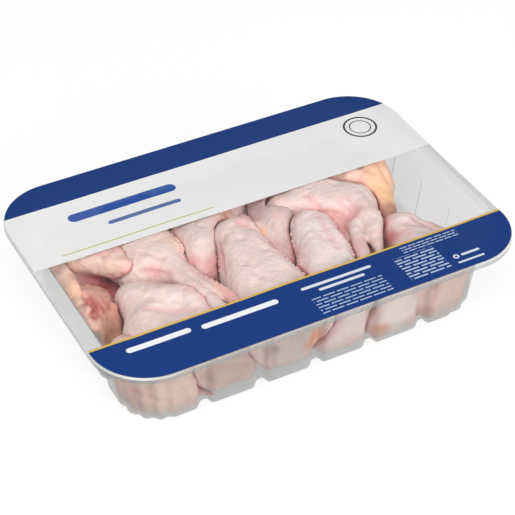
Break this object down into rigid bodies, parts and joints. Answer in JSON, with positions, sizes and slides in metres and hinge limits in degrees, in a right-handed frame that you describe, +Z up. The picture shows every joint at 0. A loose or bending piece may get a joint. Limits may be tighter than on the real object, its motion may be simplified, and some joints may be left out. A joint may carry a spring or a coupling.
{
  "type": "meat tray pack",
  "caption": "Sealed clear ribbed plastic tray of folded raw chicken wings, under a film lid printed in blue and white with a clear window.",
  "frame": {"origin": "on the table, under the middle of the tray", "axes": "+X along the tray to the right, +Y from its front to its back, +Z up"},
  "size_m": [0.27, 0.19, 0.0564],
  "materials": {
    "clear_plastic": "clear thermoformed sheet, faintly milky",
    "printed_film": "glossy film, clear in the window, printed blue and white elsewhere",
    "pale_skin": "moist raw skin, pale pinkish cream",
    "fatty_skin": "moist raw skin over fat, orange cream"
  },
  "bodies": {
    "root": {"tray": "clear_plastic", "film": "printed_film", "wing_middle": "pale_skin", "wing_right": "pale_skin", "wing_elbow": "pale_skin", "wing_crossed": "pale_skin", "wing_front_left": "pale_skin", "wing_front_right": "pale_skin", "wing_back_middle": "pale_skin", "wing_behind": "pale_skin", "wing_fat": "fatty_skin", "wing_left": "fatty_skin", "wing_far_left": "fatty_skin", "wing_corner": "fatty_skin", "wing_back": "pale_skin", "wing_back_left": "pale_skin", "wing_low_left": "pale_skin", "wing_low_right": "pale_skin", "wing_low_middle": "pale_skin"}
  },
  "joints": []
}
